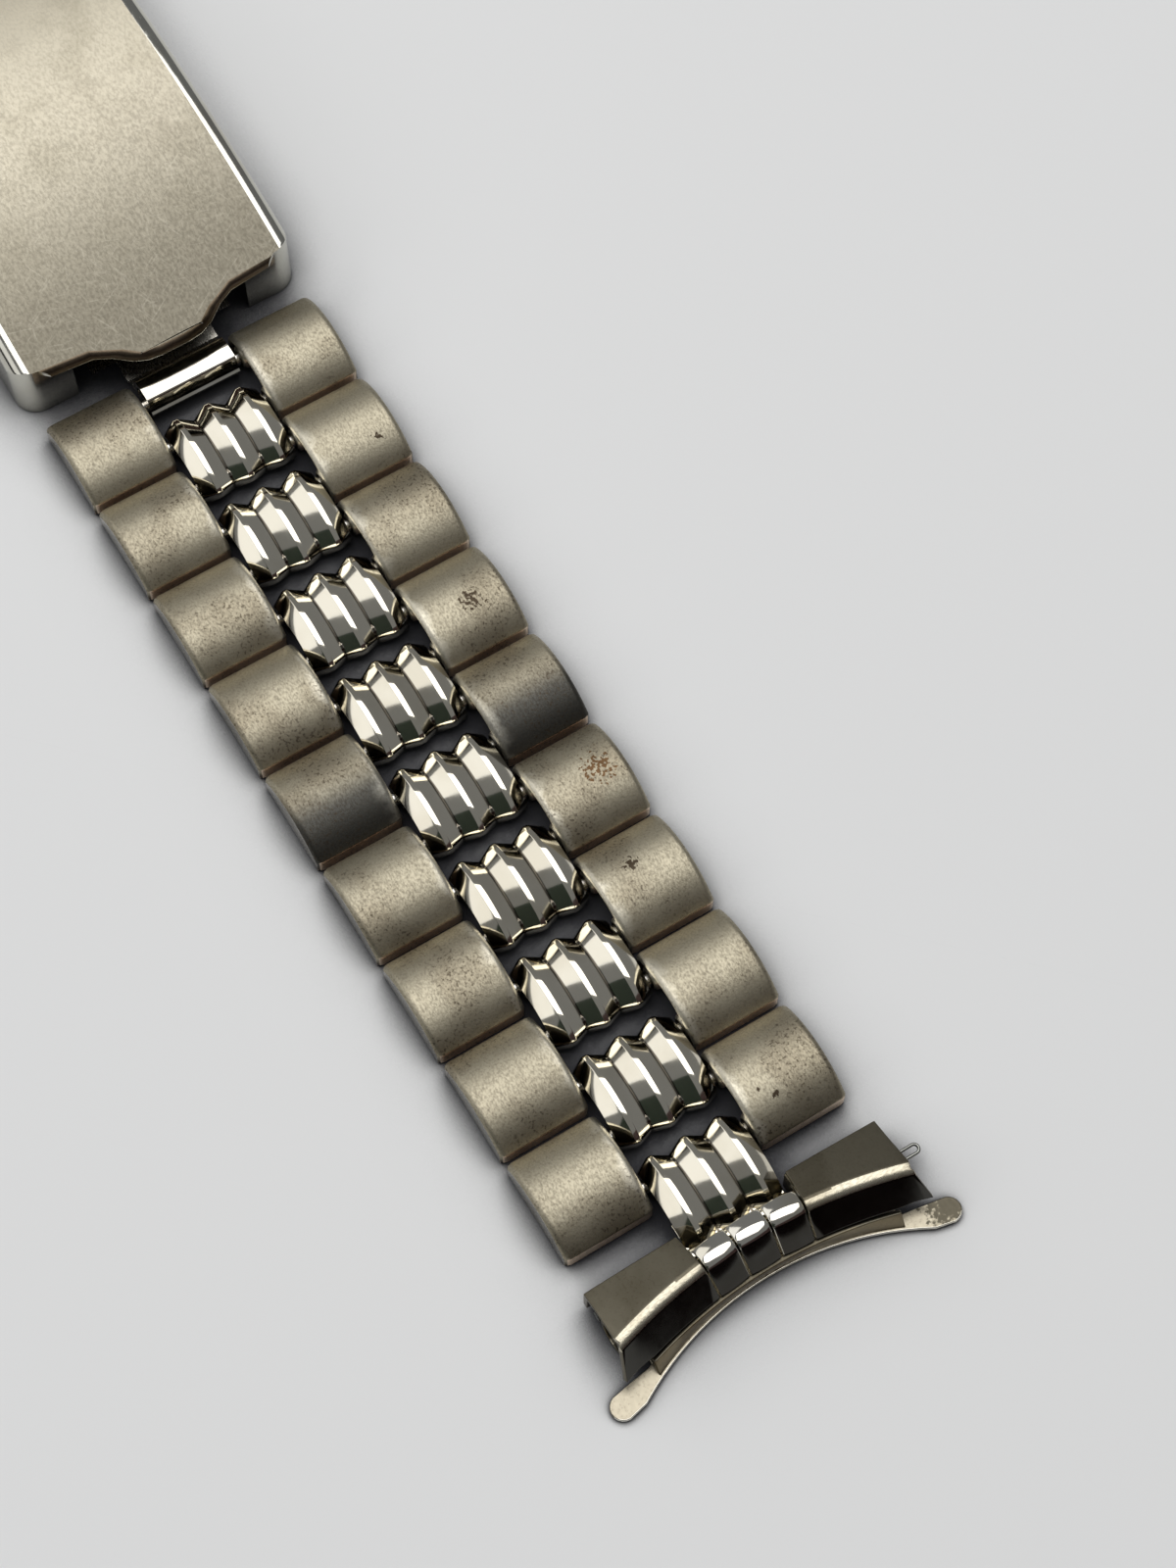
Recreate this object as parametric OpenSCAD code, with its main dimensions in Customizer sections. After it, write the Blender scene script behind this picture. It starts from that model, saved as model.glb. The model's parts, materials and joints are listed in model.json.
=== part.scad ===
// Folded-link watch bracelet with a three-member folding clasp, lying flat and closed.
// X runs along the strap, Y across it and Z up from the table. All lengths are in millimetres.

/* [Strap] */
// Width of the strap over its outer links
strap_width = 18; // [14:0.5:22]
// Length of one row of links
pitch = 6.75; // [5.5:0.05:8]
// Width of one outer link
outer_width = 5.6; // [4:0.1:7]
// Width of the ridged centre links
centre_width = 6.4; // [4:0.1:8]
// Gap between one row of outer links and the next
row_gap = 0.4; // [0.3:0.05:0.8]
// Height of a link's crest above the table
link_height = 2.6; // [2:0.1:3.5]
// Radius of the arched top of a link
top_radius = 4.45; // [4:0.05:6]
// Thickness of the folded link sheet
sheet = 0.35; // [0.25:0.05:0.5]
// Length of a centre link's ridged top
centre_length = 5.9; // [4.8:0.1:6.2]
// Depth of the valleys between the ridges
ridge_depth = 0.6; // [0.2:0.05:0.7]
// Spacing of the ridges across a centre link
ridge_pitch = 2.15; // [1.6:0.05:2.6]
// Width of the flat crest on each ridge
ridge_crest = 0.35; // [0.1:0.05:0.8]

// Rows of links in the half with the knuckle
row_count_front = 9; // [5:1:9]
// Rows of links in the half that the spring bar holds
row_count_back = 7; // [4:1:7]

/* [Pins] */
// Radius of a link pin
pin_radius = 0.4; // [0.3:0.05:0.6]
// Height of the link pins above the table
pin_height = 0.8; // [0.7:0.05:1.2]
// Wall of the loops rolled round the pins
loop_wall = 0.38; // [0.25:0.01:0.5]
// Radial clearance of a loop that turns on its pin
running_fit = 0.02; // [0.01:0.005:0.1]
// How far a link pin ends inside the side of the strap
pin_recess = 0.1; // [0:0.05:0.5]
// Radius of the cotter pin that joins an end link
cotter_radius = 0.3; // [0.2:0.05:0.4]
// Wire radius of the cotter pin's eye
cotter_wire = 0.16; // [0.1:0.02:0.25]

/* [Clasp] */
// Width over the side walls of the clasp cover
cover_width = 19; // [15:0.1:23]
// Length of the clasp cover without its lip
cover_length = 38; // [30:0.5:46]
// Outer radius of the arched clasp cover
cover_radius = 75; // [60:1:120]
// Height of the cover's top at its lip
lip_height = 4.2; // [3.6:0.1:5]
// Sheet thickness of the clasp cover
cover_sheet = 0.35; // [0.3:0.05:0.6]
// Corner radius along the cover's sides
cover_corner = 1; // [0.5:0.1:2]
// Width of the middle blade
middle_width = 8; // [6:0.5:10]
// Radius of the cover's front corners, seen from above
front_round = 1.5; // [0.8:0.1:2.5]
// Opening between the cover's front flanges
flange_gap = 11.8; // [9.8:0.2:14]
// Thickness of both folding blades
blade_sheet = 0.5; // [0.4:0.05:0.8]
// Gap between folded blades, and beside the middle blade
blade_gap = 0.25; // [0.15:0.05:0.5]
// Radius of the two hinge pins of the clasp
hinge_radius = 0.5; // [0.4:0.05:0.7]
// Radius of the spring bar that holds the strap in the cover
bar_radius = 0.5; // [0.45:0.05:0.6]
// Radius of the spring bar's tips
bar_tip = 0.3; // [0.2:0.05:0.4]
// Spacing of the adjustment holes in the cover's sides
adjust_step = 2; // [1.5:0.1:3]

/* [End link] */
// Radius of the watch case that the end link's foot follows
case_radius = 18.5; // [15:0.5:22]
// Width of the end link's top plate
end_width = 18.5; // [14:0.5:22]
// Width over the ears of the foot
ear_width = 22.2; // [16:0.1:26]
// Height of the end link's front fold
fold_height = 3.35; // [2.8:0.05:4]
// Sheet thickness of the end link
end_sheet = 0.4; // [0.3:0.05:0.5]
// Bore of the rolled tubes for the case's spring bar, as a radius
seat_radius = 0.78; // [0.7:0.01:0.95]

/* [View] */
// Sub-part to draw, or all of them

/* [Hidden] */
$fn = 64;
thin = 0.01;
loop_step = pitch / 4;
link_length = pitch - row_gap;
nose = 0.3;
arc_z = link_height - top_radius;
nose_x = link_length / 2 - nose;
foot_round = 0.3;
foot_x = link_length / 2 - foot_round;
wall_x = link_length / 2 - 0.02;
nose_z = arc_z + sqrt(pow(top_radius - nose, 2) - pow(nose_x, 2));
outer_y = (strap_width - outer_width) / 2;
pin_bore = pin_radius + running_fit;
loop_radius = pin_height;
centre_loop = pin_bore + loop_wall - 0.05;
ridge_half = centre_width / 2 - 0.05;
// Strap positions below are measured from the start of row 1; x_shift centres the part.
hinge_reach = 3.15;
case_reach = 8.6;
lip_back = -1.65;
cover_back = lip_back - cover_length;
bar_x = -35;
back_start = bar_x + loop_step;
front_tip = row_count_front * pitch + case_reach;
back_tip = back_start - row_count_back * pitch - case_reach;
x_shift = -(front_tip + back_tip) / 2;
// The cover and both blades are arcs about one centre line under the table.
clasp_x = -19.5;
clasp_z = lip_height - sqrt(pow(cover_radius, 2) - pow(-1.2 - clasp_x, 2));
inner_r = cover_radius - 3.75;
middle_r = inner_r + blade_sheet + blade_gap;
wall_r = cover_radius - 5;
hinge1_x = -4.5;
hinge1_r = middle_r + 1.2;
hinge1_z = arc_height(hinge1_r, hinge1_x);
hinge2_x = -29.5;
hinge2_r = middle_r + 0.3;
hinge2_z = arc_height(hinge2_r, hinge2_x);
hinge_bore = hinge_radius + running_fit;
knuckle = hinge_bore + 0.45;
rail = 0.5;
rail_y = middle_width / 2 + blade_gap + rail / 2;
// The end link is drawn from the end of the last row, with the watch case on its +X side.
end_hinge_z = 1.2;
plate_back = 1.95;
notch_end = 2.95;
notch_half = ridge_half + 0.05;
tube_length = end_width / 2 - notch_half - 0.2;
fold_x = 4.4;
fold_r = 30.7;
fold_round = 0.5;
skirt_z = 1.75;
seat_x = 4.55;
seat_z = seat_radius + 0.42;

function arc_height(r, x) = clasp_z + sqrt(pow(r, 2) - pow(x - clasp_x, 2));
function arc_angle(r, x) = asin((x - clasp_x) / r);
function row_x(i) = i <= row_count_front ? (i - 0.5) * pitch : back_start - (i - row_count_front - 0.5) * pitch;
function row_way(i) = i <= row_count_front ? 1 : -1;
function last_of_half(i) = i == row_count_front || i == row_count_front + row_count_back;

function two_digits(i) = str(i < 10 ? "0" : "", i);

// Draws a flat XZ outline as a plate of the given width, centred on y.
module across(width, y = 0) {
  translate([0, y + width / 2, 0])
    rotate([90, 0, 0])
      linear_extrude(height = width)
        children();
}

// A round bar along Y.
module bar(r, width, x, z, y = 0) {
  translate([x, y + width / 2, z])
    rotate([90, 0, 0])
      cylinder(r = r, h = width);
}

// Sweeps an outline (radius, width) through an arc about the Y direction, centred above x = 0.
module arch(half_angle) {
  rotate([90, 0, 0])
    rotate([0, 0, 90 - half_angle])
      rotate_extrude(angle = 2 * half_angle, $fn = 128)
        children();
}

// Puts a part in the frame of the finished bracelet.
module placed() {
  translate([x_shift, 0, 0])
    children();
}

// Cross-section of an outer link's top sheet, with rolled edges.
module outer_edge_section(width) {
  edge = 0.35;
  translate([top_radius - sheet, edge - width / 2])
    square([sheet, width - 2 * edge]);
  for (side = [-1, 1])
    translate([top_radius - edge, side * (width / 2 - edge)])
      circle(r = edge);
}

// Side view of the folded ends and rolled loops of an outer link.
module outer_side_view(front_bore) {
  difference() {
    union() {
      for (side = [-1, 1]) {
        translate([side * nose_x, nose_z])
          circle(r = nose);
        translate([side > 0 ? wall_x - sheet : -wall_x, foot_round])
          square([sheet, nose_z - foot_round]);
        translate([side * foot_x, foot_round])
          circle(r = foot_round);
        translate([side > 0 ? loop_step : -foot_x, 0.02])
          square([foot_x - loop_step, sheet]);
        translate([side * loop_step, pin_height])
          circle(r = loop_radius);
      }
    }
    translate([loop_step, pin_height])
      circle(r = front_bore);
    translate([-loop_step, pin_height])
      circle(r = pin_bore);
  }
}

// One outer link, pressed from sheet and rolled round its two pins.
module outer_link(front_bore) {
  angle = asin(nose_x / (top_radius - nose));
  translate([0, 0, arc_z])
    arch(angle)
      outer_edge_section(outer_width);
  across(outer_width - 0.3)
    outer_side_view(front_bore);
}

// Both outer links of a row.
module outer_links(i) {
  front_bore = i == row_count_front + 1 ? bar_radius + running_fit : pin_bore;
  color([0.66, 0.62, 0.53])
    placed()
      for (side = [-1, 1])
        translate([row_x(i), side * outer_y, 0])
          outer_link(front_bore);
}

// Cross-section of the centre link's ridged sheet, as radius and width.
module ridged_section() {
  low = top_radius - ridge_depth;
  half = ridge_crest / 2;
  difference() {
    union() {
      translate([low - sheet, -ridge_half])
        square([sheet, 2 * ridge_half]);
      for (k = [-1, 0, 1])
        polygon([
          [low - thin, k * ridge_pitch - ridge_pitch / 2],
          [top_radius, k * ridge_pitch - half],
          [top_radius, k * ridge_pitch + half],
          [low - thin, k * ridge_pitch + ridge_pitch / 2]
        ]);
    }
    for (k = [-1, 0, 1])
      polygon([
        [low - sheet - thin, k * ridge_pitch - ridge_pitch / 2 + 0.3],
        [top_radius - sheet, k * ridge_pitch - 0.05],
        [top_radius - sheet, k * ridge_pitch + 0.05],
        [low - sheet - thin, k * ridge_pitch + ridge_pitch / 2 - 0.3]
      ]);
  }
}

// Rolled loops under a centre link; the last one of each half has a tongue for the end link.
module centre_side_view(last) {
  difference() {
    union() {
      translate([-loop_step, pin_height])
        circle(r = centre_loop);
      if (last) {
        translate([hinge_reach, end_hinge_z])
          circle(r = cotter_radius + running_fit + 0.28);
        translate([1.2, end_hinge_z - 0.15])
          square([hinge_reach - 1.5, 0.3]);
        translate([1.2, end_hinge_z - 0.45])
          square([0.7, 0.6]);
      } else {
        translate([loop_step, pin_height])
          circle(r = centre_loop);
      }
    }
    translate([-loop_step, pin_height])
      circle(r = pin_bore);
    if (last)
      translate([hinge_reach, end_hinge_z])
        circle(r = cotter_radius + running_fit);
    else
      translate([loop_step, pin_height])
        circle(r = pin_bore);
  }
}

// A ridged centre link, which joins one row to the next.
module centre_link(i) {
  last = last_of_half(i);
  color([0.78, 0.76, 0.7])
    placed()
      translate([row_x(i) + row_way(i) * pitch / 2, 0, 0])
        rotate([0, 0, row_way(i) > 0 ? 0 : 180]) {
          difference() {
            translate([0, 0, arc_z])
              arch(asin(centre_length / 2 / top_radius))
                ridged_section();
            for (side = [-1, 1])
              bar(pin_bore, centre_width + 1, side * loop_step, pin_height);
          }
          across(centre_width - 0.2)
            centre_side_view(last);
        }
}

// The pins of one row; the first back row has one, because the spring bar takes its other end.
module link_pins(i) {
  ends = i == row_count_front + 1 ? [-1] : [-1, 1];
  color([0.6, 0.6, 0.6])
    placed()
      for (side = ends)
        bar(pin_radius, strap_width - 2 * pin_recess, row_x(i) + side * loop_step, pin_height);
}

// Sweeps an outline (radius, width) along the clasp between two strap positions.
module clasp_arc(r, x0, x1) {
  a0 = arc_angle(r, x0);
  a1 = arc_angle(r, x1);
  translate([clasp_x, 0, clasp_z])
    rotate([90, 0, 0])
      rotate([0, 0, 90 - a1])
        rotate_extrude(angle = a1 - a0, $fn = 256)
          children();
}

// Flat sheet of a blade as seen along the clasp.
module blade_section(r, width, height = blade_sheet, y = 0) {
  translate([r, y - width / 2])
    square([height, width]);
}

// Outline of the cover across the clasp, filled, with rounded shoulders.
module cover_section(inset) {
  r = cover_radius - inset;
  half = cover_width / 2 - inset;
  corner = cover_corner - inset;
  translate([wall_r - 2 * inset, -half])
    square([r - corner - wall_r + 2 * inset, 2 * half]);
  translate([wall_r - 2 * inset, corner - half])
    square([r - wall_r + 2 * inset, 2 * (half - corner)]);
  for (side = [-1, 1])
    translate([r - corner, side * (half - corner)])
      circle(r = corner);
}

// Points of a rounded front corner in plan, from the front face round to the side wall.
function corner_points(r, side) = [
  for (k = [0:6])
    let (a = k * 12.5)
      [lip_back - front_round + r * cos(a), side * (cover_width / 2 - front_round + r * sin(a))]
];

function backwards(list) = [for (i = [len(list) - 1:-1:0]) list[i]];

// Plan view of the cover, with rounded front corners and the lip that a finger lifts.
module cover_plan() {
  wide = cover_width / 2 + 1;
  back = lip_back - front_round - 0.4;
  lip = [
    [-1.2, 7.4], [-1, 4.7], [-0.55, 3.7], [0.15, 2.7], [0.5, 1.8], [0.6, 0.9],
    [0.6, -0.9], [0.5, -1.8], [0.15, -2.7], [-0.55, -3.7], [-1, -4.7], [-1.2, -7.4]
  ];
  polygon(concat(
    [[cover_back, -wide], [cover_back, wide], [back, wide], [back, cover_width / 2 + 0.1]],
    backwards(corner_points(front_round, 1)),
    lip,
    corner_points(front_round, -1),
    [[back, -cover_width / 2 - 0.1], [back, -wide]]
  ));
}

// Plan view of the room inside the walls; it stays open under the lip and between the front flanges.
module cover_room() {
  wide = cover_width / 2 + 1;
  back = lip_back - front_round - 0.4;
  front = lip_back - cover_sheet;
  inner = cover_width / 2 - cover_sheet + 0.1;
  polygon(concat(
    [[cover_back - 1, -wide], [cover_back - 1, wide], [back, wide], [back, inner]],
    backwards(corner_points(front_round - cover_sheet, 1)),
    [[front, flange_gap / 2], [lip_back, flange_gap / 2], [lip_back, wide], [3, wide]],
    [[3, -wide], [lip_back, -wide], [lip_back, -flange_gap / 2], [front, -flange_gap / 2]],
    corner_points(front_round - cover_sheet, -1),
    [[back, -inner], [back, -wide]]
  ));
}

// The clasp's cover: one bent sheet with a lip, side walls, hinge holes and adjustment holes.
module clasp_cover() {
  color([0.7, 0.66, 0.58])
    placed()
      difference() {
        intersection() {
          clasp_arc(cover_radius, cover_back - 1, 2)
            cover_section(0);
          linear_extrude(height = 10)
            cover_plan();
        }
        intersection() {
          clasp_arc(cover_radius, cover_back - 3, 4)
            cover_section(cover_sheet);
          translate([0, 0, -4])
            linear_extrude(height = 14)
              cover_room();
        }
        bar(hinge_radius, cover_width + 2, hinge1_x, hinge1_z);
        for (k = [-1, 0, 1])
          bar(bar_tip + running_fit, cover_width + 2, bar_x + k * adjust_step, pin_height);
      }
}

// The pin that carries the middle blade in the cover's walls.
module cover_hinge_pin() {
  color([0.6, 0.6, 0.6])
    placed()
      bar(hinge_radius, cover_width, hinge1_x, hinge1_z);
}

// The middle blade, rolled into a knuckle at both ends.
module middle_blade() {
  color([0.72, 0.7, 0.66])
    placed()
      difference() {
        union() {
          clasp_arc(middle_r, hinge2_x + 0.6, hinge1_x)
            blade_section(middle_r, middle_width);
          bar(knuckle, middle_width, hinge1_x, hinge1_z);
          bar(knuckle, middle_width, hinge2_x, hinge2_z);
        }
        bar(hinge_bore, middle_width + 1, hinge1_x, hinge1_z);
        bar(hinge_bore, middle_width + 1, hinge2_x, hinge2_z);
        clasp_arc(middle_r, hinge2_x + 5, hinge1_x - 6)
          blade_section(middle_r - 1, 2.4, 3);
      }
}

// The pin that joins both blades.
module blade_hinge_pin() {
  color([0.6, 0.6, 0.6])
    placed()
      bar(hinge_radius, 2 * rail_y + rail, hinge2_x, hinge2_z);
}

// Side view of the knuckle's polished hood, as an X and Z outline about the first link pin.
module knuckle_hood(foot) {
  polygon([
    [-1.35, foot], [-1.35, 0.8], [-1.2, 1.1], [-0.8, 1.3], [-0.3, 1.36], [0.3, 1.36], [0.5, 1.31], [0.64, 1.18],
    [0.85, 0.4], [1, 0.3], [0.95, 0.15], [0.55, 0.1], [0.3, 1], [-0.6, 0.98], [-1, 0.7], [-1, foot]
  ]);
}

// The inner blade: a channel with turned-up edges, a narrow neck and a knuckle on the first link pin.
module inner_blade() {
  neck = 6;
  neck_back = -2.9;
  tab_back = -0.9;
  flat_z = arc_height(inner_r, -0.7);
  color([0.72, 0.7, 0.66])
    placed()
      difference() {
        union() {
          clasp_arc(inner_r, hinge2_x + 1.6, -0.6)
            blade_section(inner_r, 2 * rail_y + rail);
          for (side = [-1, 1]) {
            clasp_arc(inner_r, hinge2_x + 0.6, -3)
              blade_section(inner_r, rail, 1.1, side * rail_y);
            bar(knuckle, rail, hinge2_x, hinge2_z, side * rail_y);
          }
          translate([tab_back, -neck / 2, flat_z])
            cube([loop_step - loop_radius / 2 - tab_back, neck, 0.45]);
          bar(loop_radius, neck, loop_step, pin_height);
          translate([loop_step, 0, pin_height])
            across(neck)
              knuckle_hood(flat_z + 0.1 - pin_height);
          translate([-2.1, -1.5, flat_z])
            cube([0.35, 3, 2]);
          bar(0.3, 3, -1.95, flat_z + 2);
        }
        for (side = [-1, 1])
          translate([neck_back, side > 0 ? neck / 2 + 0.1 : -neck / 2 - 3.1, -1])
            cube([-neck_back, 3, 2]);
        bar(pin_bore, neck + 1, loop_step, pin_height);
        bar(hinge_radius, 2 * rail_y + 2, hinge2_x, hinge2_z);
        clasp_arc(inner_r, hinge2_x + 5, -8)
          blade_section(inner_r - 1, 3, 3);
      }
}

// The spring bar that hangs the back half of the strap in the middle adjustment holes.
module spring_bar() {
  color([0.6, 0.6, 0.6])
    placed() {
      bar(bar_radius, cover_width - 2 * cover_sheet - 0.4, bar_x, pin_height);
      bar(bar_tip, cover_width - 0.1, bar_x, pin_height);
    }
}

// Places an end piece at the front (0) or the back (1) of the strap.
module at_end(back) {
  placed()
    translate([back > 0 ? back_start - row_count_back * pitch : row_count_front * pitch, 0, 0])
      rotate([0, 0, back > 0 ? 180 : 0])
        children();
}

// Sweeps an outline (radius, height) about the watch's own axis, which stands in front of the end link.
module about_case() {
  translate([fold_x + fold_r, 0, 0])
    rotate_extrude($fn = 256)
      children();
}

// Outline of the top plate, the rounded fold and the skirt, moved inwards by the inset.
module plate_section(inset, depth) {
  r0 = fold_r + fold_round;
  z0 = fold_height - inset;
  polygon([[r0, z0], [r0 + 5, z0 - 1.8], [r0 + 5, z0 - 1.8 - depth], [r0, z0 - depth]]);
  if (inset == 0)
    translate([r0, fold_height - fold_round])
      circle(r = fold_round);
  polygon([
    [fold_r + inset + 0.1, fold_height - 0.3],
    [fold_r - 1.15 + inset, skirt_z],
    [fold_r - 1.15 + inset + depth, skirt_z],
    [fold_r + inset + depth + 0.1, fold_height - 0.3]
  ]);
}

// The end link: one folded sheet with a ribbed fold, a notch, cheeks, rolled tubes and a foot.
module end_link(back) {
  half = end_width / 2;
  color([0.5, 0.47, 0.4])
    at_end(back)
      difference() {
        union() {
          intersection() {
            about_case()
              plate_section(0, end_sheet);
            translate([plate_back, -half, 0])
              cube([8, end_width, 5]);
          }
          intersection() {
            about_case()
              polygon([
                [fold_r + fold_round, 0],
                [fold_r + fold_round, fold_height - 0.1],
                [fold_r + fold_round + 5, fold_height - 1.9],
                [fold_r + fold_round + 5, 0]
              ]);
            union()
              for (side = [-1, 1]) {
                translate([plate_back, side > 0 ? notch_half : -half, 0.05])
                  cube([end_sheet, half - notch_half, 4]);
                translate([plate_back, side > 0 ? notch_half : -notch_half - end_sheet, 0.05])
                  cube([3, end_sheet, 4]);
              }
          }
          end_foot();
          for (side = [-1, 1])
            bar(seat_radius + 0.3, tube_length, seat_x, seat_z, side * (notch_half + tube_length / 2));
        }
        translate([plate_back - 1, -notch_half, -1])
          cube([notch_end - plate_back + 1, 2 * notch_half, 6]);
        for (k = [-3, -1, 1, 3])
          intersection() {
            about_case()
              plate_section(-0.2, end_sheet);
            translate([notch_end - 0.1, k * ridge_pitch / 2 - 0.12, 0])
              cube([5, 0.24, 6]);
          }
        bar(cotter_radius, end_width + 2, hinge_reach, end_hinge_z);
        bar(seat_radius, end_width + 2, seat_x, seat_z);
        translate([seat_x, -half - 1, seat_z - 0.3])
          cube([seat_radius + 0.4, end_width + 2, 0.5]);
      }
}

// The foot under the end link, cut to the case, with an ear at each side.
module end_foot() {
  half = end_width / 2;
  foot = 0.4;
  open_end = 1.4;
  ear = 0.75;
  difference() {
    linear_extrude(height = foot)
      difference() {
        union() {
          translate([plate_back, -half])
            square([6.5, end_width]);
          translate([case_reach - 2 * ear, -ear_width / 2 + ear])
            square([2 * ear, ear_width - 2 * ear]);
          for (side = [-1, 1])
            translate([case_reach - ear, side * (ear_width / 2 - ear)])
              circle(r = ear);
        }
        translate([5.9 + case_radius, 0])
          circle(r = case_radius, $fn = 256);
      }
    translate([plate_back - 1, -notch_half, -1])
      cube([hinge_reach + 1.2 - plate_back, 2 * notch_half, 3]);
    for (side = [-1, 1])
      translate([plate_back - 1, side > 0 ? half - open_end : -half - 1, -1])
        cube([case_reach - plate_back - 1, open_end + 1, 3]);
  }
}

// The cotter pin of an end link, with the wire eye that stands out at one side.
module cotter_pin(back) {
  half = end_width / 2;
  eye_radius = 0.42;
  eye_x = 0.95;
  eye_y = half + 1;
  pin_end = half - 0.2;
  color([0.75, 0.73, 0.68])
    at_end(back) {
      bar(cotter_radius, end_width - 0.2, hinge_reach, end_hinge_z);
      translate([hinge_reach, pin_end, end_hinge_z])
        rotate([-90, 0, -atan2(eye_x, eye_y - eye_radius - pin_end)])
          cylinder(r = cotter_wire, h = norm([eye_x, eye_y - eye_radius - pin_end]));
      translate([hinge_reach + eye_x, eye_y, end_hinge_z])
        rotate([0, 55, 0])
          rotate_extrude($fn = 64)
            translate([eye_radius, 0])
              circle(r = cotter_wire, $fn = 32);
    }
}

clasp_cover();
cover_hinge_pin();
middle_blade();
blade_hinge_pin();
inner_blade();
spring_bar();
for (i = [1:row_count_front + row_count_back]) {
  outer_links(i);
  centre_link(i);
  link_pins(i);
}
end_link(0);  // end_link_front
cotter_pin(0);  // cotter_pin_front
end_link(1);  // end_link_back
cotter_pin(1);  // cotter_pin_back
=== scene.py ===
# %% [markdown]
# A folded-link watch bracelet, dressed for its picture. The CAD model gives the size and the
# place of every piece and says what turns on what. This file gives the pieces their pressed-sheet
# shapes and their worn steel, and sets the light and the camera.

# %% Load the frame
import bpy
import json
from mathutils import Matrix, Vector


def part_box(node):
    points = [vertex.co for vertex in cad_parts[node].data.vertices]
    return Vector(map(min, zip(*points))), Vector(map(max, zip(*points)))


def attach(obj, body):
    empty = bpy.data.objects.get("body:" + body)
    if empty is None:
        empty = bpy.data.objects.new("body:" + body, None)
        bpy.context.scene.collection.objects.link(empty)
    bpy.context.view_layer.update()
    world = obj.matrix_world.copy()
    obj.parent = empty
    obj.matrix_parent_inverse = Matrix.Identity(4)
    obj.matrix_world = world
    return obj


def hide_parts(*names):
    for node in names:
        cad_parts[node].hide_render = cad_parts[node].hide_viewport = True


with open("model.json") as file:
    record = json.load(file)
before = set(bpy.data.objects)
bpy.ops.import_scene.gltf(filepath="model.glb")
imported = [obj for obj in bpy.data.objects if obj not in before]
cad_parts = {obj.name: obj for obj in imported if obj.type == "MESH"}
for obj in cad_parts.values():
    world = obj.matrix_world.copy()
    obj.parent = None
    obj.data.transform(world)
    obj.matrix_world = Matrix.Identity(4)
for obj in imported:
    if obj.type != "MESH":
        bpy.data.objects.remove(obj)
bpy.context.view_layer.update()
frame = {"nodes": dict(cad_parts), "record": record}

# %% [markdown]
# Blender counts in metres and a bracelet is measured in millimetres, so every size below is
# written in millimetres. Operators act on whatever is selected. One helper clears the selection
# first, and each later step starts with it.

# %% Tools for modelling
import json
import math
import bpy
from mathutils import Matrix, Vector

MM = 0.001


def only(obj=None):
    """Back to object mode, with nothing selected or just this object."""
    if bpy.context.mode != "OBJECT":
        bpy.ops.object.mode_set(mode="OBJECT")
    bpy.ops.object.select_all(action="DESELECT")
    if obj:
        obj.select_set(True)
        bpy.context.view_layer.objects.active = obj


def edit(obj):
    """Edit mode on this object, with all of it selected."""
    only(obj)
    bpy.ops.object.mode_set(mode="EDIT")
    bpy.ops.mesh.select_all(action="SELECT")


def apply_modifier(obj, kind, **settings):
    """Adds one modifier, sets it and applies it."""
    only(obj)
    modifier = obj.modifiers.new(kind.lower(), kind)
    for key, value in settings.items():
        setattr(modifier, key, value)
    bpy.ops.object.modifier_apply(modifier=modifier.name)


def join(name, parts):
    """Joins several meshes into the first."""
    only(parts[0])
    for part in parts:
        part.select_set(True)
    bpy.ops.object.join()
    parts[0].name = name
    parts[0].data.name = name
    return parts[0]


print("tools ready")

# %% [markdown]
# Every link of this strap is one narrow strip of sheet, bent again and again round lines that run
# across the strap. That can be drawn the way it is bent: a line across the strap is spun about an
# axis, pulled straight, and spun again. The line itself starts as a plane merged to one point,
# which is then extruded from point to point.

# %% Bending a strip of sheet
def draw_line(name, points):
    """A chain of edges through these points, in millimetres, selected and in edit mode."""
    only()
    start = Vector(points[0]) * MM
    bpy.ops.mesh.primitive_plane_add(size=MM, location=start)
    obj = bpy.context.object
    obj.name = name
    bpy.ops.object.transform_apply(location=True)
    edit(obj)
    bpy.ops.mesh.merge(type="CENTER")
    for a, b in zip(points, points[1:]):
        step = (Vector(b) - Vector(a)) * MM
        bpy.ops.mesh.extrude_vertices_move(TRANSFORM_OT_translate={"value": step})
    bpy.ops.mesh.select_all(action="SELECT")
    return obj


def bend(x, z, degrees, steps):
    """Spins the selected line clockwise, seen from the right side, about an axis at x, z."""
    angle = -math.radians(degrees)
    bpy.ops.mesh.spin(steps=steps, angle=angle, center=(x * MM, 0, z * MM), axis=(0, 1, 0))


def pull(dx, dz):
    """Extrudes the selected line straight."""
    bpy.ops.mesh.extrude_region_move(TRANSFORM_OT_translate={"value": (dx * MM, 0, dz * MM)})


def plate(name, outline, offset):
    """A flat plate: fills this closed outline and pulls it by the offset, all in millimetres."""
    obj = draw_line(name, outline + outline[:1])
    bpy.ops.mesh.remove_doubles(threshold=1e-7)
    bpy.ops.mesh.select_all(action="SELECT")
    bpy.ops.mesh.edge_face_add()
    step = [c * MM for c in offset]
    bpy.ops.mesh.extrude_region_move(TRANSFORM_OT_translate={"value": step})
    bpy.ops.mesh.select_all(action="SELECT")
    bpy.ops.mesh.normals_make_consistent(inside=False)
    return obj


def give_thickness(obj, sheet, mirrored):
    """Turns a bent strip into sheet metal of this thickness, measured inwards."""
    if mirrored:
        apply_modifier(obj, "MIRROR", use_axis=(True, False, False), merge_threshold=1e-6)
    edit(obj)
    bpy.ops.mesh.remove_doubles(threshold=1e-6)
    bpy.ops.mesh.normals_make_consistent(inside=False)
    apply_modifier(obj, "SOLIDIFY", thickness=sheet * MM, offset=-1, use_even_offset=True)


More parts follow.
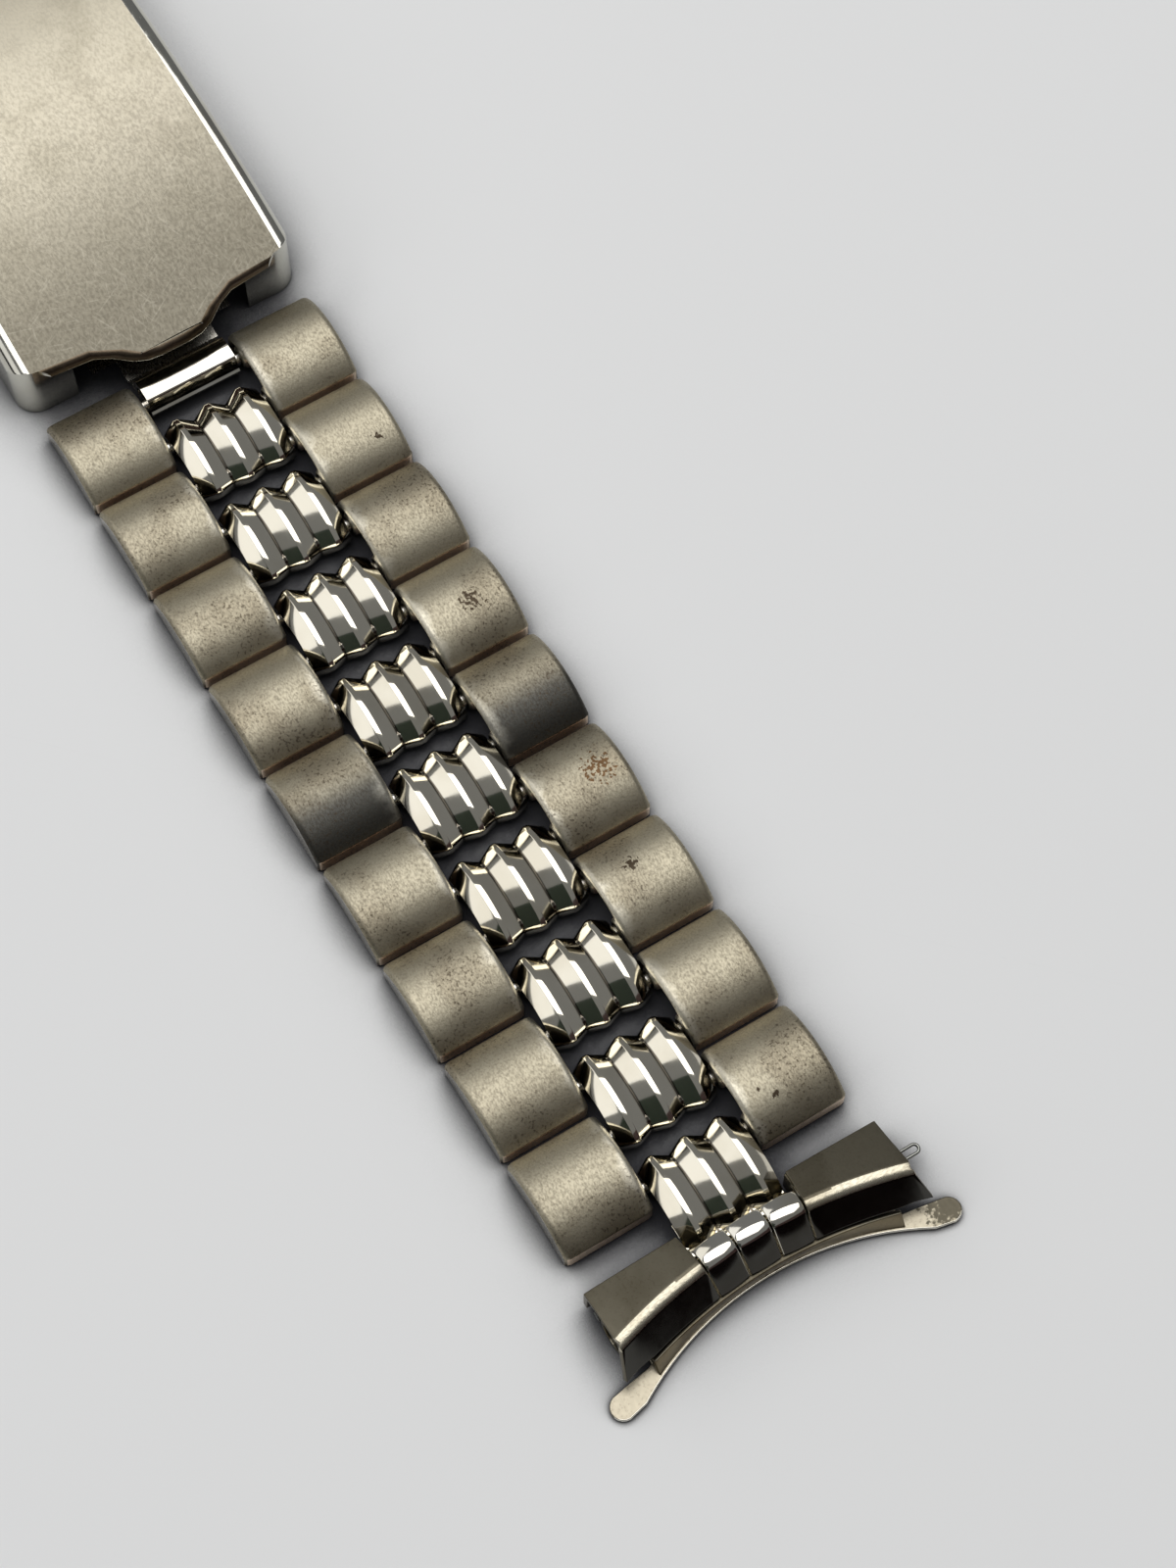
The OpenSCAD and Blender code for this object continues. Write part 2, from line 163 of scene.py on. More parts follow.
def ease_edges(obj, width, segments=2, angle=35, smooth=50):
    """Rounds the sharp edges and keeps flat faces flat in the shading."""
    limit = math.radians(angle)
    apply_modifier(
        obj, "BEVEL", width=width * MM, segments=segments, limit_method="ANGLE", angle_limit=limit
    )
    only(obj)
    bpy.ops.object.shade_smooth_by_angle(angle=math.radians(smooth))
    apply_modifier(obj, "WEIGHTED_NORMAL", keep_sharp=True)


print("bending tools ready")

# %% [markdown]
# An outer link is arched on top, turned straight down at both ends, folded under and rolled round
# its two pins. Its long sides droop a little where the press rounded them, which is what catches
# the bright line along the strap. A thin wall closes the side that faces away from the middle of
# the strap. The arch is spun from its middle to one end, the strip is mirrored, and the sheet
# gets its thickness last.

# %% Outer link
PITCH = 6.75
LINK_LENGTH = 6.35
LINK_TOP = 2.6
ARCH_RADIUS = 4.45
SHEET = 0.35
NOSE = 0.3
PIN_X = PITCH / 4
PIN_Z = 0.8
OUTER_WIDTH = 5.6
OUTER_Y = 6.2
FOLD_Z = 0.3
WALL_SHEET = 0.09
WALL_INSET = 0.2
WALL_BELOW = 0.27
WALL_LOW = 0.12
ARCH_Z = LINK_TOP - ARCH_RADIUS
nose_x = LINK_LENGTH / 2 - NOSE
nose_angle = math.degrees(math.asin(nose_x / (ARCH_RADIUS - NOSE)))
nose_z = ARCH_Z + math.sqrt((ARCH_RADIUS - NOSE) ** 2 - nose_x ** 2)


def side_wall(side):
    """The wall that closes the outer side of the link, just inside the ends of the arch."""
    y = side * OUTER_WIDTH / 2
    end_x = LINK_LENGTH / 2 - WALL_INSET
    radius = ARCH_RADIUS - WALL_BELOW
    reach = math.degrees(math.asin(end_x / radius))
    arc = [math.radians(reach * k / 8) for k in range(-8, 9)]
    outline = [(radius * math.sin(a), y, ARCH_Z + radius * math.cos(a)) for a in arc]
    outline += [(end_x, y, WALL_LOW), (-end_x, y, WALL_LOW)]
    return plate("side_wall", outline, (0, -side * WALL_SHEET, 0))


def outer_link(side):
    """One outer link, centred on its own row, for this side of the strap."""
    half = OUTER_WIDTH / 2
    droop = [(half, 0.2), (half - 0.12, 0.07), (half - 0.35, 0.0)]
    line = [(0, -y, LINK_TOP - d) for y, d in droop]
    line += [(0, y, LINK_TOP - d) for y, d in reversed(droop)]
    obj = draw_line("outer_link", line)
    bend(0, ARCH_Z, nose_angle, 14)
    bend(nose_x, nose_z, 90 - nose_angle, 6)
    pull(0, FOLD_Z - nose_z)
    bend(LINK_LENGTH / 2 - FOLD_Z, FOLD_Z, 90, 6)
    pull(PIN_X - (LINK_LENGTH / 2 - FOLD_Z), 0)
    bend(PIN_X, PIN_Z, 290, 20)
    give_thickness(obj, SHEET, True)
    obj = join("outer_link", [obj, side_wall(side)])
    ease_edges(obj, 0.06)
    return obj


master_outer = {side: outer_link(side) for side in (-1, 1)}
print("outer link:", len(master_outer[1].data.polygons), "faces")

# %% [markdown]
# A centre link is pressed into three sharp ridges and arched the same way, so its ends show a
# zigzag. The zigzag is drawn once across the strap and spun into the arch. Two rolled loops under
# it hold the pins. The last link of each half has one loop and a tongue that reaches to the
# cotter pin of the end link.

# %% Centre link
RIDGE_PITCH = 2.15
RIDGE_CREST = 0.3
RIDGE_DEPTH = 0.6
CENTRE_LENGTH = 5.9
CENTRE_WIDTH = 6.3
CENTRE_SHEET = 0.3
LOOP_OUTER = 0.78
LOOP_BORE = 0.43
LOOP_WIDTH = CENTRE_WIDTH - 0.2
TONGUE_HALF = 3.1
TONGUE_RADIUS = 0.58
TONGUE_REACH = 1.6
TONGUE_SHEET = 0.26
COTTER_X = 3.15
COTTER_Z = 1.2


def zigzag():
    """Points across the three ridges, from one side of the strap to the other."""
    points = []
    for k in (-1, 0, 1):
        middle = k * RIDGE_PITCH
        low = LINK_TOP - RIDGE_DEPTH
        near = max(middle - RIDGE_PITCH / 2, -CENTRE_WIDTH / 2)
        far = min(middle + RIDGE_PITCH / 2, CENTRE_WIDTH / 2)
        crest = [(0, middle + half, LINK_TOP) for half in (-RIDGE_CREST / 2, RIDGE_CREST / 2)]
        points += [(0, near, low), *crest]
        if k == 1:
            points.append((0, far, low))
    return points


def loop_under(side):
    """A loop rolled round the pin at this end of the link."""
    x, low = side * PIN_X, PIN_Z - LOOP_OUTER
    obj = draw_line("centre_loop", [(x, -LOOP_WIDTH / 2, low), (x, LOOP_WIDTH / 2, low)])
    bend(x, PIN_Z, side * 300, 24)
    give_thickness(obj, LOOP_OUTER - LOOP_BORE, False)
    return obj


def tongue_ahead():
    """The last link's tongue, rolled round the cotter pin of the end link."""
    low = COTTER_Z - TONGUE_RADIUS
    obj = draw_line("tongue", [(COTTER_X, -TONGUE_HALF, low), (COTTER_X, TONGUE_HALF, low)])
    bend(COTTER_X, COTTER_Z, -270, 20)
    pull(-TONGUE_REACH, 0)
    give_thickness(obj, TONGUE_SHEET, False)
    return obj


def centre_link(last):
    """One centre link, centred between two rows."""
    end_angle = math.degrees(math.asin(CENTRE_LENGTH / 2 / ARCH_RADIUS)) - 2.5
    top = draw_line("centre_top", zigzag())
    bend(0, ARCH_Z, end_angle, 18)
    pull(0.1, -0.16)
    pull(0.02, -0.6)
    give_thickness(top, CENTRE_SHEET, True)
    parts = [top, loop_under(-1), tongue_ahead() if last else loop_under(1)]
    obj = join("centre_link", parts)
    ease_edges(obj, 0.05, segments=3, angle=25, smooth=24)
    return obj


master_centre = centre_link(False)
master_last = centre_link(True)
print("centre link:", len(master_centre.data.polygons), "faces")

# %% [markdown]
# An end link carries the strap up to the watch. Its top plate slants up from the strap to a
# rounded fold, and a skirt drops from the fold along a curve about the watch's own axis. So its
# outline is spun about that axis and cut off with bisect: straight behind, and square at the
# sides, where the sheet stays open. Three polished barrels in the middle carry the ridges of the
# strap on. A separate lower sheet holds the rolled tubes for the watch's spring bar and ends in a
# foot that fits the case, with an ear at each side.

# %% End link
AXIS_X = 35.1
FOLD_D = 31.2
FOLD_TOP = 3.35
FOLD_ROUND = 0.8
PLATE_SLOPE = 0.36
PLATE_BACK = 1.95
NOTCH_BACK = 2.95
NOTCH_HALF = 3.2
SKIRT_ANGLE = 48.6
SKIRT_FOOT = 1.75
SKIRT_FLARE = 0.5
END_HALF = 9.25
END_SHEET = 0.38
SEAT_X = 4.55
SEAT_Z = 1.2
SEAT_BORE = 0.78
CASE_RADIUS = 18.5
FOOT_X = 5.9
CASE_REACH = 8.6
EAR_HALF = 11.1
EAR_ROUND = 0.75
FOOT_HALF = END_HALF - 1.4
FOOT_SHEET = 0.4
TUCK = 1.75
WING_SWEEP = 10.8
FLARE_FROM = FOLD_TOP - 0.5
FLARE_DEPTH = 1.1
FLARE_OUTER = 8
BARREL_SWELL = 0.13
BARREL_SINK = 0.07
APRON_TOP = (AXIS_X, 29.25, 1.5)
APRON_LOW = (FOOT_X + CASE_RADIUS, CASE_RADIUS + 0.12, 0.36)
APRON_SHEET = 0.3
TUBE_WALL = 0.3
CHEEK_SHEET = 0.3
CHEEK_LOW = 0.38
CHEEK_FRONT = 4.2
CHEEK_TOP = (2.3, 2.9)
EAR_ROOT_X = 6.65
EAR_CASE_Y = 9.2


def end_outline(back_d):
    """Plate, fold and skirt, as distance from the watch's axis and height."""
    slope = math.degrees(math.atan(PLATE_SLOPE))
    points = [(back_d, FOLD_TOP - PLATE_SLOPE * (back_d - FOLD_D))]
    steps = 8
    for k in range(steps + 1):
        a = math.radians(slope - (slope + SKIRT_ANGLE) * k / steps)
        d = FOLD_D + FOLD_ROUND * math.sin(a)
        z = FOLD_TOP - FOLD_ROUND + FOLD_ROUND * math.cos(a)
        points.append((d, z))
    drop = z - SKIRT_FOOT
    points.append((d - drop / math.tan(math.radians(SKIRT_ANGLE)), SKIRT_FOOT))
    return points


def swept_outline(name, back_d, y0, y1, steps):
    """Spins the outline about the watch's axis from y0 to y1, which are measured at the fold."""
    a0, a1 = (math.asin(y / FOLD_D) for y in (y0, y1))
    line = [(AXIS_X - d * math.cos(a0), d * math.sin(a0), z) for d, z in end_outline(back_d)]
    obj = draw_line(name, line)
    bpy.ops.mesh.spin(steps=steps, angle=a1 - a0, center=(AXIS_X * MM, 0, 0), axis=(0, 0, 1))
    bpy.ops.mesh.select_all(action="SELECT")
    return obj


def cut_off(point, normal):
    """Bisects what is selected, drops the normal's side and leaves the cut selected."""
    where = [c * MM for c in point]
    bpy.ops.mesh.bisect(plane_co=where, plane_no=normal, clear_outer=True)


def end_wing(side):
    """One wing of the top sheet, with its back edge turned down and the end of its skirt flared."""
    obj = swept_outline("wing", 36, side * (NOTCH_HALF + 0.05), side * WING_SWEEP, 14)
    cut_off((0, side * END_HALF, 0), (0, side, 0))
    bpy.ops.mesh.select_all(action="SELECT")
    cut_off((PLATE_BACK, 0, 0), (-1, 0, 0))
    pull(0, -TUCK)
    give_thickness(obj, END_SHEET, False)
    for vertex in obj.data.vertices:
        x, y, z = vertex.co / MM
        if x > AXIS_X - FOLD_D and abs(y) > FLARE_OUTER:
            down = min(max((FLARE_FROM - z) / FLARE_DEPTH, 0), 1)
            vertex.co.y += side * SKIRT_FLARE * down * MM
    return obj


def end_barrel(k):
    """One polished barrel of the fold, swollen in the middle."""
    width = 2 * NOTCH_HALF / 3
    share = 0.48
    ends = (k - share) * width, (k + share) * width
    obj = swept_outline("barrel", AXIS_X - NOTCH_BACK, *ends, 8)
    bpy.ops.mesh.normals_make_consistent(inside=False)
    only(obj)
    for vertex in obj.data.vertices:
        across = (vertex.co.y / MM - k * width) / (width / 2)
        vertex.co += vertex.normal * (BARREL_SWELL * (1 - across ** 2) - BARREL_SINK) * MM
    give_thickness(obj, END_SHEET, False)
    return obj


def end_foot():
    """The lower sheet: notch, back edge, root of the ear, round ear and the arc of the case."""
    centre = FOOT_X + CASE_RADIUS
    back, notch_x, notch_y = PLATE_BACK + 0.3, SEAT_X - 0.6, NOTCH_HALF + 0.4
    right = [(notch_x, 0.0), (notch_x, notch_y), (back, notch_y), (back, FOOT_HALF)]
    right += [(EAR_ROOT_X, FOOT_HALF), (EAR_ROOT_X + 0.1, FOOT_HALF + 0.3)]
    ear_x, ear_y = CASE_REACH - EAR_ROUND, EAR_HALF - EAR_ROUND
    for k in range(11):
        a = math.pi - k * math.pi / 10
        right.append((ear_x + EAR_ROUND * math.cos(a), ear_y + EAR_ROUND * math.sin(a)))
    for k in range(13):
        y = EAR_CASE_Y * (1 - k / 12)
        right.append((centre - math.sqrt(CASE_RADIUS ** 2 - y ** 2), y))
    left = [(x, -y) for x, y in reversed(right)][1:-1]
    outline = [(x, y, 0.0) for x, y in right + left]
    return plate("foot", outline, (0, 0, FOOT_SHEET))


def end_apron():
    """The sheet from the foot's edge to just under the skirt, bridged between two arcs."""
    lines = []
    stations = [(FOOT_HALF - 0.05) * (k / 14 - 1) for k in range(29)]
    for name, (centre, radius, z) in (("upper", APRON_TOP), ("lower", APRON_LOW)):
        arc = [(centre - math.sqrt(radius ** 2 - y ** 2), y, z) for y in stations]
        lines.append(draw_line(name, arc))
        only()
    obj = join("apron", lines)
    edit(obj)
    bpy.ops.mesh.bridge_edge_loops()
    bpy.ops.mesh.select_all(action="SELECT")
    bpy.ops.mesh.subdivide(number_cuts=1)
    give_thickness(obj, APRON_SHEET, False)
    return obj


def end_tube(side):
    """A rolled tube for the watch's spring bar, slit on the side of the case."""
    y0, y1 = (side * y for y in (NOTCH_HALF + 0.25, END_HALF - 0.15))
    start = math.radians(-25)
    outer = SEAT_BORE + TUBE_WALL
    x, z = SEAT_X + outer * math.cos(start), SEAT_Z + outer * math.sin(start)
    obj = draw_line("tube", [(x, y0, z), (x, y1, z)])
    bend(SEAT_X, SEAT_Z, 310, 24)
    give_thickness(obj, TUBE_WALL, False)
    return obj


def end_cheek(side):
    """A cheek beside the notch, which carries the cotter pin."""
    y = side * (NOTCH_HALF + 0.2)
    back, top_back, top_front = PLATE_BACK + 0.02, *CHEEK_TOP
    outline = [(back, y, CHEEK_LOW), (back, y, top_back)]
    outline += [(CHEEK_FRONT, y, top_front), (CHEEK_FRONT, y, CHEEK_LOW)]
    return plate("cheek", outline, (0, side * CHEEK_SHEET, 0))


def end_link():
    """The whole end link, measured from the end of the last row."""
    parts = [end_wing(side) for side in (-1, 1)]
    parts += [end_barrel(k) for k in (-1, 0, 1)]
    parts += [end_foot(), end_apron()]
    parts += [end_tube(side) for side in (-1, 1)]
    parts += [end_cheek(side) for side in (-1, 1)]
    obj = join("end_link", parts)
    ease_edges(obj, 0.06)
    return obj


master_end = end_link()
print("end link:", len(master_end.data.polygons), "faces")

# %% [markdown]
# Sixteen rows and sixteen centre links follow from the three masters. Each copy gets its own
# mesh, moved to the place of its CAD node and turned with its half of the strap.

# %% Lay out the rows
ROWS = 16
FRONT_ROWS = 9


def placed_copy(master, name, x, y, turned):
    """A copy of the master with its own mesh at this place, in metres."""
    mesh = master.data.copy()
    if turned:
        mesh.transform(Matrix.Rotation(math.pi, 4, "Z"))
    mesh.transform(Matrix.Translation((x, y, 0)))
    obj = bpy.data.objects.new(name, mesh)
    bpy.context.scene.collection.objects.link(obj)
    mesh.name = name
    return obj


def row_middle(i):
    """Where the middle of this row is along the strap, in metres."""
    low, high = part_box(f"outer_links_{i:02d}")
    return (low[0] + high[0]) / 2


outer_pieces = []
centre_pieces = []
for i in range(1, ROWS + 1):
    back_half = i > FRONT_ROWS
    way = -1 if back_half else 1
    x = row_middle(i)
    pair = [
        placed_copy(master_outer[side * way], f"side{side}", x, side * OUTER_Y * MM, back_half)
        for side in (-1, 1)
    ]
    obj = join(f"folded_outer_links_{i:02d}", pair)
    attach(obj, f"row_{i:02d}")
    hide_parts(f"outer_links_{i:02d}")
    outer_pieces.append(obj)
    master = master_last if i in (FRONT_ROWS, ROWS) else master_centre
    middle = x + way * PITCH / 2 * MM
    obj = placed_copy(master, f"ridged_centre_link_{i:02d}", middle, 0, back_half)
    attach(obj, f"centre_{i:02d}")
    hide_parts(f"centre_link_{i:02d}")
    centre_pieces.append(obj)
for master in (*master_outer.values(), master_centre, master_last):
    bpy.data.objects.remove(master)
print("rows laid out:", len(outer_pieces), "centre links:", len(centre_pieces))

# %% [markdown]
# The clasp's cover and blades are bent from one sheet each, and their CAD solids already have
# that form. A merged copy of such a solid only needs its flat faces joined again and its cut
# edges eased. The front edge of the cover's lip is rolled over more than the rest, so it gets a
# wider bevel first. The end links are copies of the one that was bent above, at both ends of the
# strap. Each hangs on a cotter pin, whose wire is bent out at one side like a hairpin: a rod and
# a stretched ring.

# %% Clasp, end links and cotter pins
COTTER_RADIUS = 0.3
HAIRPIN_WIRE = 0.1
HAIRPIN_LOOP = 0.26
HAIRPIN_NEAR = END_HALF - 0.3
HAIRPIN_FAR = 10.45
HAIRPIN_OFFSET = 1.05
LIP_HALF = 7.6
LIP_LOW = 3.3
LIP_ROLL = 0.4


def roll_lip(obj):
    """Rounds the front edge of the cover's top more than its other edges, as the press left it."""
    only(obj)
    normals_at = {}
    for face in obj.data.polygons:
        for key in face.edge_keys:
            normals_at.setdefault(key, []).append(face.normal.copy())
    edit(obj)
    bpy.ops.mesh.select_mode(type="EDGE")
    bpy.ops.mesh.select_all(action="DESELECT")
    bpy.ops.object.mode_set(mode="OBJECT")
    for edge in obj.data.edges:
        normals = normals_at.get(edge.key, [])
        below = any(abs(n.z) < 0.35 and n.x > 0.05 for n in normals)
        above = any(n.z > 0.8 for n in normals)
        corners = [obj.data.vertices[k].co / MM for k in edge.vertices]
        inside = all(abs(c.y) < LIP_HALF and c.z > LIP_LOW for c in corners)
        edge.select = below and above and inside
    print("lip edges:", sum(edge.select for edge in obj.data.edges))
    bpy.ops.object.mode_set(mode="EDIT")
    bpy.ops.mesh.bevel(offset=LIP_ROLL * MM, segments=4, affect="EDGES")
    bpy.ops.mesh.select_mode(type="VERT")
    only(obj)


def body_of(node):
    """The body that a node rides on, from the record."""
    for body, names in frame["record"]["behaviour"]["bodies"].items():
        if node in names:
            return body


def from_solid(node, name, width, lip=False):
    """A merged copy of a CAD solid with eased edges, riding on the same body."""
    source = frame["nodes"][node]
    mesh = source.data.copy()
    mesh.transform(source.matrix_world)
    obj = bpy.data.objects.new(name, mesh)
    mesh.name = name
    bpy.context.scene.collection.objects.link(obj)
    edit(obj)
    bpy.ops.mesh.remove_doubles(threshold=1e-6)
    bpy.ops.mesh.dissolve_limited(angle_limit=math.radians(0.2))
    if lip:
        roll_lip(obj)
    ease_edges(obj, width)
    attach(obj, body_of(node))
    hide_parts(node)
    return obj


def hairpin(name, node, row, way):
    """The cotter pin of an end link: a straight rod whose wire comes out at one side and back."""
    x = row_middle(row) / MM + way * (PITCH / 2 + COTTER_X)
    only()
    bpy.ops.mesh.primitive_torus_add(
        major_radius=HAIRPIN_LOOP * MM, minor_radius=HAIRPIN_WIRE * MM,
        major_segments=40, minor_segments=12,
    )
    eye = bpy.context.object
    for vertex in eye.data.vertices:
        reach = HAIRPIN_FAR if vertex.co.y * way > 0 else HAIRPIN_NEAR
        vertex.co += Vector(((x + way * HAIRPIN_OFFSET) * MM, way * reach * MM, COTTER_Z * MM))
    only()
    bpy.ops.mesh.primitive_cylinder_add(
        radius=COTTER_RADIUS * MM, depth=2 * (END_HALF - 0.1) * MM, vertices=32,
        location=(x * MM, 0, COTTER_Z * MM), rotation=(math.pi / 2, 0, 0),
    )
    rod = bpy.context.object
    bpy.ops.object.transform_apply(location=True, rotation=True)
    obj = join(name, [rod, eye])
    bpy.ops.object.shade_smooth_by_angle(angle=math.radians(50))
    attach(obj, body_of(node))
    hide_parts(node)
    return obj


cover = from_solid("clasp_cover", "bent_cover", 0.1, lip=True)
blades = [from_solid(n, f"bent_{n}", 0.06) for n in ("middle_blade", "inner_blade")]
ends = (("front", FRONT_ROWS, 1), ("back", ROWS, -1))
end_links = []
for name, row, way in ends:
    edge = row_middle(row) + way * PITCH / 2 * MM
    obj = placed_copy(master_end, f"folded_end_link_{name}", edge, 0, way < 0)
    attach(obj, body_of(f"end_link_{name}"))
    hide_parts(f"end_link_{name}")
    end_links.append(obj)
bpy.data.objects.remove(master_end)
cotters = [
    hairpin(f"wire_cotter_{name}", f"cotter_pin_{name}", row, way) for name, row, way in ends
]
print("sheet pieces:", [o.name for o in (cover, *blades, *end_links, *cotters)])

# %% [markdown]
# Worn steel is never one colour. A fine grain breaks the highlight and the years leave brown specks
# in the satin. A bright band along the inner edges, where rubbing brightens what stands out, is
# partly wear and partly a painted highlight. The valleys are painted darker, painted shade sits low
# down in the gaps, and single stains sit here and there. One side of the cover and one row get a
# painted shade, so a colour may also fade along the strap. Each of these is a small group of nodes
# that gives a mask, built once and placed in every finish that wants it.

# %% Shared effects
def new_group(name, inputs, *outputs):
    """An empty node group that takes a place and these values and gives these masks."""
    group = bpy.data.node_groups.new(name, "ShaderNodeTree")
    group.interface.new_socket(name="Vector", in_out="INPUT", socket_type="NodeSocketVector")
    for label, value in inputs:
        kind = "NodeSocketVector" if value is None else "NodeSocketFloat"
        socket = group.interface.new_socket(name=label, in_out="INPUT", socket_type=kind)
        if value is not None:
            socket.default_value = value
    for label in outputs:
        group.interface.new_socket(name=label, in_out="OUTPUT", socket_type="NodeSocketFloat")
    return group, group.nodes.new("NodeGroupInput"), group.nodes.new("NodeGroupOutput")


def feed(tree, socket, value):
    """Links a socket to this input, or gives the input a plain value."""
    if isinstance(value, bpy.types.NodeSocket):
        tree.links.new(value, socket)
    else:
        socket.default_value = value


def put(tree, kind, **inputs):
    """Adds a node and feeds its inputs."""
    node = tree.nodes.new(kind)
    for key, value in inputs.items():
        feed(tree, node.inputs[key], value)
    return node


def math_node(tree, operation, a, b=0.5):
    """One step of arithmetic."""
    node = tree.nodes.new("ShaderNodeMath")
    node.operation = operation
    for socket, value in zip(node.inputs, (a, b)):
        feed(tree, socket, value)
    return node.outputs[0]


def axis_of(tree, vector, axis):
    """The X, Y or Z of a place."""
    split = tree.nodes.new("ShaderNodeSeparateXYZ")
    tree.links.new(vector, split.inputs[0])
    return split.outputs[axis]


def ramp(tree, value, low, high, out_low=0.0, out_high=1.0):
    """Maps low..high smoothly to out_low..out_high."""
    node = tree.nodes.new("ShaderNodeMapRange")
    node.interpolation_type = "SMOOTHSTEP"
    tree.links.new(value, node.inputs["Value"])
    limits = {"From Min": low, "From Max": high, "To Min": out_low, "To Max": out_high}
    for key, limit in limits.items():
        node.inputs[key].default_value = limit
    return node.outputs[0]


def grain_group():
    """The fine grain that brushing leaves, with its own density along and across the strap."""
    density = [("Along", 3000.0), ("Across", 12000.0)]
    group, start, end = new_group("brushed_grain", density, "Grain")
    scale = group.nodes.new("ShaderNodeCombineXYZ")
    group.links.new(start.outputs["Along"], scale.inputs[0])
    group.links.new(start.outputs["Across"], scale.inputs[1])
    group.links.new(start.outputs["Across"], scale.inputs[2])
    stretch = group.nodes.new("ShaderNodeVectorMath")
    stretch.operation = "MULTIPLY"
    group.links.new(start.outputs["Vector"], stretch.inputs[0])
    group.links.new(scale.outputs[0], stretch.inputs[1])
    noise = put(
        group, "ShaderNodeTexNoise", Vector=stretch.outputs[0], Scale=1.0, Detail=3.0, Roughness=0.6
    )
    group.links.new(noise.outputs["Fac"], end.inputs["Grain"])
    return group


def tarnish_group():
    """Broad patches, and brown specks that are denser inside them."""
    sizes = [("Speck size", 6000.0), ("Patch size", 240.0)]
    group, start, end = new_group("tarnish", sizes, "Specks", "Patches")
    place, speck_size, patch_size = start.outputs[:3]
    fine = put(group, "ShaderNodeTexNoise", Vector=place, Scale=speck_size, Detail=2.0)
    broad = put(group, "ShaderNodeTexNoise", Vector=place, Scale=patch_size, Detail=4.0)
    patches = ramp(group, broad.outputs["Fac"], 0.44, 0.64)
    specks = ramp(group, fine.outputs["Fac"], 0.54, 0.68)
    denser = ramp(group, patches, 0.0, 1.0, 0.3, 1.0)
    group.links.new(math_node(group, "MULTIPLY", specks, denser), end.inputs["Specks"])
    group.links.new(patches, end.inputs["Patches"])
    return group


def painted_low_shade_group():
    """Painted shade below a ragged level, low down in the gaps between the links."""
    group, start, end = new_group("grime", [("Top", 0.001)], "Grime")
    place = start.outputs["Vector"]
    height = axis_of(group, place, "Z")
    wobble = put(group, "ShaderNodeTexNoise", Vector=place, Scale=1500.0, Detail=3.0)
    shift = math_node(group, "MULTIPLY", wobble.outputs["Fac"], 0.5 * MM)
    level = math_node(group, "ADD", height, shift)
    depth = math_node(group, "SUBTRACT", start.outputs["Top"], level)
    group.links.new(ramp(group, depth, -0.3 * MM, 0.4 * MM), end.inputs["Grime"])
    return group


def rubbed_highlight_group():
    """Wear where neighbours rub, and a painted highlight: a ragged band at this distance from the
    strap's middle.
    """
    group, start, end = new_group("rubbed_band", [("Inner", 0.0034), ("Width", 0.001)], "Rubbed")
    place = start.outputs["Vector"]
    wobble = put(group, "ShaderNodeTexNoise", Vector=place, Scale=700.0, Detail=3.0)
    distance = math_node(group, "ABSOLUTE", axis_of(group, place, "Y"))
    distance = math_node(group, "SUBTRACT", distance, start.outputs["Inner"])
    uneven = ramp(group, wobble.outputs["Fac"], 0.3, 0.7, 0.4, 1.6)
    ragged = math_node(group, "MULTIPLY", uneven, start.outputs["Width"])
    share = math_node(group, "DIVIDE", distance, ragged)
    group.links.new(ramp(group, share, 1.0, 0.0), end.inputs["Rubbed"])
    return group


def scratch_group():
    """Fine scratches that run four ways: noise stretched almost to lines and cut off high."""
    group, start, end = new_group("fine_scratches", [], "Scratches")
    ways = ((25, 500.0, 7000.0), (-15, 600.0, 8000.0), (-60, 550.0, 8000.0), (75, 700.0, 9000.0))
    total = None
    for degrees, along, across in ways:
        turn = put(group, "ShaderNodeMapping", Vector=start.outputs["Vector"])
        turn.vector_type = "TEXTURE"
        turn.inputs["Rotation"].default_value = (0, 0, math.radians(degrees))
        turn.inputs["Scale"].default_value = (1 / along, 1 / across, 1 / along)
        noise = put(group, "ShaderNodeTexNoise", Vector=turn.outputs[0], Scale=1.0, Detail=2.0)
        lines = ramp(group, noise.outputs["Fac"], 0.6, 0.74)
        total = lines if total is None else math_node(group, "MAXIMUM", total, lines)
    group.links.new(total, end.inputs["Scratches"])
    return group


def valley_darkening_group():
    """Darker along the two valleys between the ridges of a centre link."""
    group, start, end = new_group("valley_dirt", [], "Valleys")
    aside = math_node(group, "ABSOLUTE", axis_of(group, start.outputs["Vector"], "Y"))
    away = math_node(group, "ABSOLUTE", math_node(group, "SUBTRACT", aside, RIDGE_PITCH / 2 * MM))
    group.links.new(ramp(group, away, 0.04 * MM, 0.12 * MM, 0.9, 0.0), end.inputs["Valleys"])
    return group


def fade_group():
    """Goes from nought to one between two places along the strap."""
    group, start, end = new_group("fade_along", [("From", 0.0), ("Length", 0.01)], "Fade")
    along = axis_of(group, start.outputs["Vector"], "X")
    way = math_node(group, "SUBTRACT", along, start.outputs["From"])
    share = math_node(group, "DIVIDE", way, start.outputs["Length"])
    group.links.new(ramp(group, share, 0.0, 1.0), end.inputs["Fade"])
    return group


